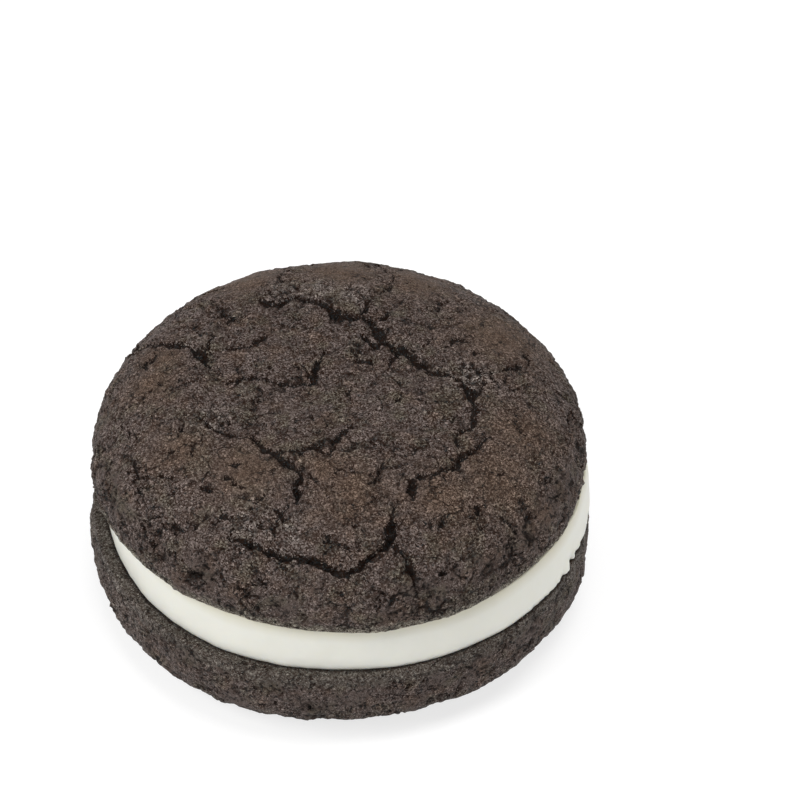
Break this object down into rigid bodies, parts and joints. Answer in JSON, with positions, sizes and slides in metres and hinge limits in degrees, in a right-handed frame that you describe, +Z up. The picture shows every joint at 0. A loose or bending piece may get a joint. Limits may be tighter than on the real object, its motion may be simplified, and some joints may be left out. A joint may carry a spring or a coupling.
{
  "type": "chocolate sandwich cookie",
  "caption": "Soft round chocolate sandwich cookie: crackle-topped cakes laid flat side in, with a thick layer of white cream between them.",
  "frame": {"origin": "middle of the small flat spot on the lower dome that the cookie rests on", "axes": "+Z up through the layers; -Y towards the viewer's side with the front crack; X to the right"},
  "size_m": [0.0739, 0.074, 0.0359],
  "materials": {
    "chocolate_cake": "matt, porous baked crumb with a dark cocoa colour, warmer brown where the crust is smooth",
    "white_cream": "smooth satin, a faintly warm white"
  },
  "bodies": {
    "root": {"upper_cake": "chocolate_cake", "cream_filling": "white_cream", "lower_cake": "chocolate_cake"}
  },
  "joints": []
}
